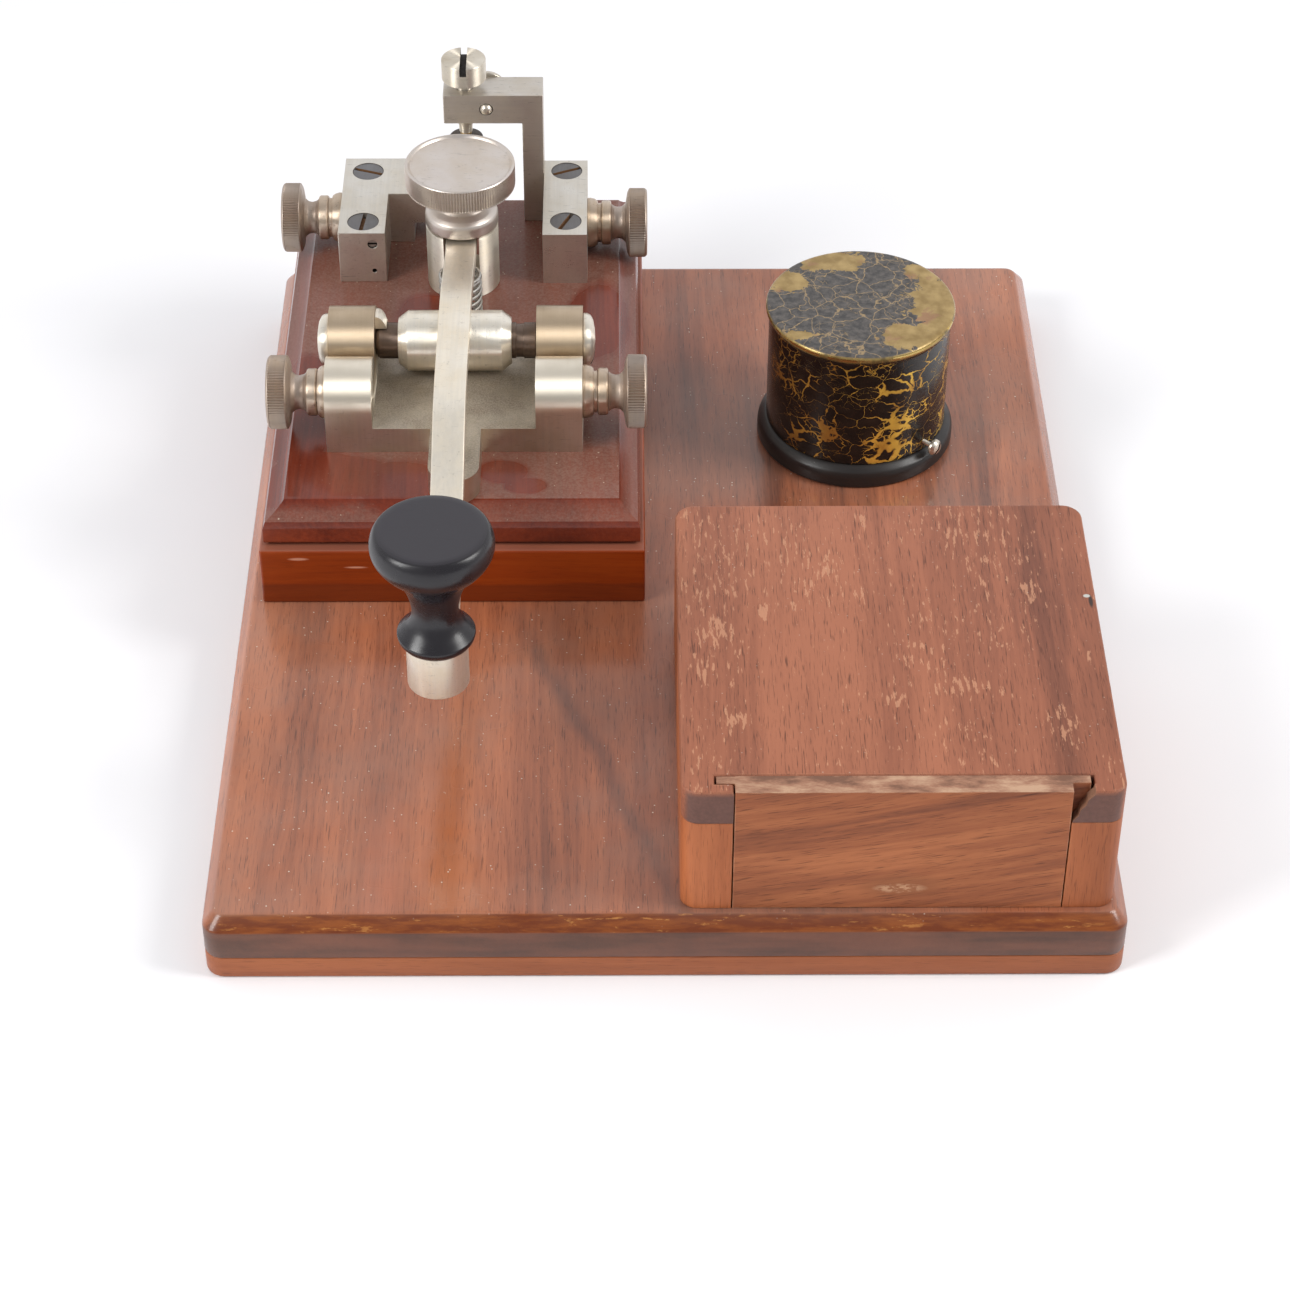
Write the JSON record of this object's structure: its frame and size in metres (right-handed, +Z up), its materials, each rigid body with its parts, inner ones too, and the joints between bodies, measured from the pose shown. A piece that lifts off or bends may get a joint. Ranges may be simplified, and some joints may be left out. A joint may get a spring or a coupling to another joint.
{
  "type": "morse key",
  "caption": "Straight Morse key on a moulded wood base, with a buzzer and a battery box that has a sliding door, all on one board.",
  "frame": {"origin": "centre of the board's underside", "axes": "+X towards the battery box side, +Y from the knob to the back, +Z up"},
  "size_m": [0.215, 0.2696, 0.0955],
  "materials": {
    "walnut_lower": "darker lower board, satin varnish, worn edges",
    "board_wood": "reddish brown, satin varnish with scuffs",
    "mahogany": "dark red mahogany, glossy french polish",
    "box_wood": "reddish brown, satin, rubbed along the grain",
    "nickel": "old nickel plate, yellowed and finely scratched",
    "worn_brass": "browned plate on brass, knurled",
    "brass": "bare brass",
    "steel": "plain steel",
    "dark_steel": "blackened steel",
    "black_gloss": "polished black ebonite",
    "black_matte": "black ebonite, slightly dulled",
    "cap_paint": "black crackle over gold, worn at the rim",
    "coil_wrap": "silk-covered wire, varnished",
    "battery_card": "plain card case"
  },
  "bodies": {
    "board": {"board_lower": "walnut_lower", "board_upper": "board_wood", "key_base_block": "mahogany", "key_base_moulding": "mahogany", "trunnion_frame": "nickel", "front_anvil": "nickel", "axle_lock_ring": "nickel", "anvil_block": "nickel", "rear_anvil": "brass", "gooseneck_block": "nickel", "gooseneck_arm": "nickel", "block_screws": "dark_steel", "grub_screws": "dark_steel", "spring_barrel": "nickel", "tension_stud": "steel", "terminal_studs": "nickel", "key_hold_screws": "steel", "pull_spring": "steel", "tension_spring": "steel", "washer_front_left": "nickel", "washer_front_right": "nickel", "washer_rear_left": "nickel", "washer_rear_right": "nickel", "buzzer_base": "black_matte", "buzzer_frame": "dark_steel", "buzzer_coils": "coil_wrap", "buzzer_contact": "brass", "box_top_board": "box_wood", "box_left_board": "box_wood", "box_right_board": "box_wood", "box_back_board": "box_wood", "box_contacts": "brass", "box_screws": "steel", "battery": "battery_card", "battery_strips": "brass"},
    "lever": {"lever": "nickel", "hub": "nickel", "axle": "dark_steel", "knob": "black_gloss", "knob_ferrule": "nickel", "knob_screw": "steel", "rear_contact": "dark_steel"},
    "tension_carrier": {"spring_cup": "brass"},
    "tension_knob": {"tension_knob": "worn_brass"},
    "stop_screw": {"stop_screw": "nickel", "stop_tip": "nickel"},
    "clamp_screw": {"clamp_screw": "nickel"},
    "bearing_screw_left": {"bearing_screw_left": "nickel"},
    "bearing_screw_right": {"bearing_screw_right": "nickel"},
    "buzzer_cap": {"buzzer_cap": "cap_paint"},
    "cap_screw": {"cap_screw": "nickel"},
    "buzzer_reed": {"buzzer_reed": "steel"},
    "door": {"box_door": "box_wood"},
    "nut_front_left": {"nut_front_left": "worn_brass"},
    "nut_front_right": {"nut_front_right": "worn_brass"},
    "nut_rear_left": {"nut_rear_left": "worn_brass"},
    "nut_rear_right": {"nut_rear_right": "worn_brass"}
  },
  "joints": [
    {"name": "lever_pivot", "type": "hinge", "parent": "board", "child": "lever", "pos_m": [-0.053, 0.0345, 0.0617], "axis": [1, 0, 0], "range_deg": [0, 0.58], "stiffness_Nm_per_rad": 1, "springref_deg": -14.32, "deforming": ["pull_spring"]},
    {"name": "tension_travel", "type": "slide", "parent": "board", "child": "tension_carrier", "axis": [0, 0, 1], "range_m": [-0.0003, 0.0027], "deforming": ["tension_spring"]},
    {"name": "tension_turn", "type": "hinge", "parent": "tension_carrier", "child": "tension_knob", "pos_m": [-0.053, 0.0855, 0.08], "axis": [0, 0, 1], "range_deg": [-110, 975]},
    {"name": "stop_screw_turn", "type": "hinge", "parent": "board", "child": "stop_screw", "pos_m": [-0.0528, 0.1195, 0.09], "axis": [0, 0, 1], "range_deg": [-180, 180]},
    {"name": "clamp_screw_turn", "type": "hinge", "parent": "board", "child": "clamp_screw", "pos_m": [-0.0468, 0.125, 0.0823], "axis": [0, 1, 0], "range_deg": [-90, 90]},
    {"name": "bearing_screw_left_turn", "type": "hinge", "parent": "board", "child": "bearing_screw_left", "pos_m": [-0.0856, 0.0345, 0.0617], "axis": [1, 0, 0], "range_deg": [-180, 180]},
    {"name": "bearing_screw_right_turn", "type": "hinge", "parent": "board", "child": "bearing_screw_right", "pos_m": [-0.0198, 0.0345, 0.0617], "axis": [1, 0, 0], "range_deg": [-180, 180]},
    {"name": "buzzer_cap_lift", "type": "slide", "parent": "board", "child": "buzzer_cap", "axis": [0, 0, 1], "range_m": [0, 0.045]},
    {"name": "cap_screw_turn", "type": "hinge", "parent": "buzzer_cap", "child": "cap_screw", "pos_m": [0.07106, 0.03703, 0.0266], "axis": [0.7193, -0.6947, 0], "range_deg": [-180, 180]},
    {"name": "reed_swing", "type": "hinge", "parent": "board", "child": "buzzer_reed", "pos_m": [0.0395, 0.0537, 0.0478], "axis": [0, 1, 0], "range_deg": [0, 1.8], "stiffness_Nm_per_rad": 0.05, "springref_deg": -5.73},
    {"name": "door_slide", "type": "slide", "parent": "board", "child": "door", "axis": [0, 0, 1], "range_m": [0, 0.036]},
    {"name": "nut_front_left_turn", "type": "hinge", "parent": "board", "child": "nut_front_left", "pos_m": [-0.0956, 0.0163, 0.0585], "axis": [1, 0, 0], "range_deg": [-360, 360]},
    {"name": "nut_front_right_turn", "type": "hinge", "parent": "board", "child": "nut_front_right", "pos_m": [-0.0098, 0.0163, 0.0585], "axis": [1, 0, 0], "range_deg": [-360, 360]},
    {"name": "nut_rear_left_turn", "type": "hinge", "parent": "board", "child": "nut_rear_left", "pos_m": [-0.0969, 0.1038, 0.0543], "axis": [1, 0, 0], "range_deg": [-360, 360]},
    {"name": "nut_rear_right_turn", "type": "hinge", "parent": "board", "child": "nut_rear_right", "pos_m": [-0.0091, 0.102, 0.0536], "axis": [1, 0, 0], "range_deg": [-360, 360]}
  ],
  "couplings": [
    {"joint": "tension_turn", "follows": "tension_travel", "rad_per_m": 6283.2}
  ]
}
